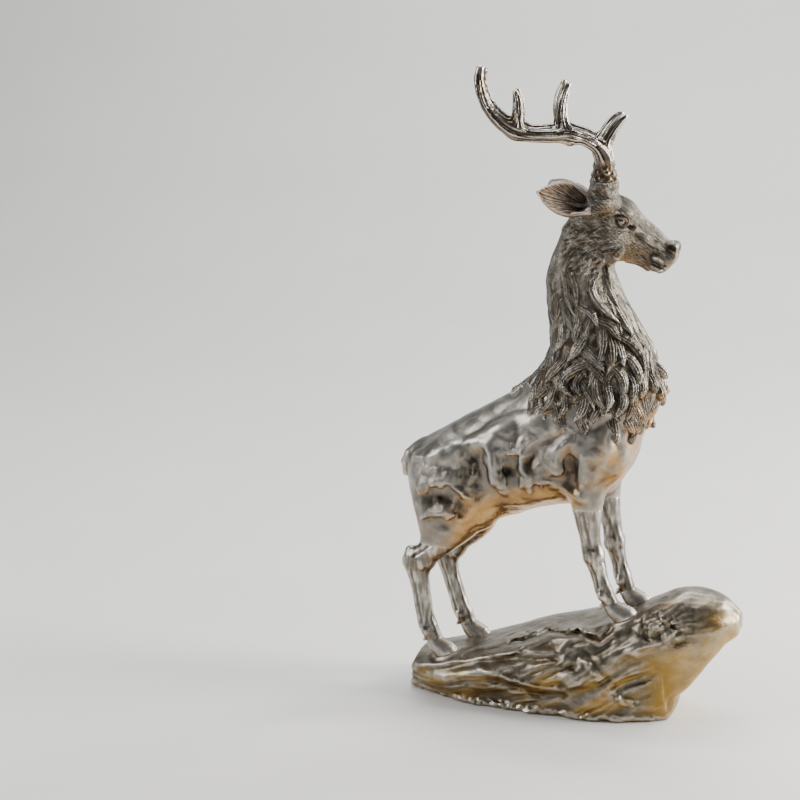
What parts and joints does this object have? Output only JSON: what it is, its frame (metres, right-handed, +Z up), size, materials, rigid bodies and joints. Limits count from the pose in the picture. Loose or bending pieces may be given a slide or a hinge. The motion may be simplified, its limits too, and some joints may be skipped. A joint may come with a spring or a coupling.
{
  "type": "stag statuette",
  "caption": "Silvered cast stag with branching antlers and a carved mane, standing uphill on a long overhanging rock base with a felted underside.",
  "frame": {"origin": "on the resting plane of the felt pad, below the middle of the stag's back", "axes": "+X the way the stag faces along the rock, +Y the stag's left side, +Z up"},
  "size_m": [0.324, 0.1336, 0.6055],
  "materials": {
    "cast_body": "satin, silvered cast metal with dark brown patina in the recesses",
    "cast_antler": "polished, grooved lengthwise",
    "cast_rock": "satin, silvered cast metal with dark brown patina, warm golden undersides",
    "pin": "drawn rod",
    "fixing": "zinc plated",
    "cover": "matt black sheet",
    "felt": "felt"
  },
  "bodies": {
    "root": {"torso_shell": "cast_body", "neck_head_shell": "cast_body", "antler_right": "cast_antler", "antler_left": "cast_antler", "antler_studs": "fixing", "ear_right": "cast_body", "ear_left": "cast_body", "foreleg_right": "cast_body", "foreleg_left": "cast_body", "hindleg_right": "cast_body", "hindleg_left": "cast_body", "leg_pins": "pin", "neck_pins": "pin", "rock_base": "cast_rock", "base_cover": "cover", "cover_screws": "fixing", "felt_pad": "felt", "hoof_studs": "fixing", "hoof_washers": "fixing", "hoof_nuts": "fixing"}
  },
  "joints": []
}
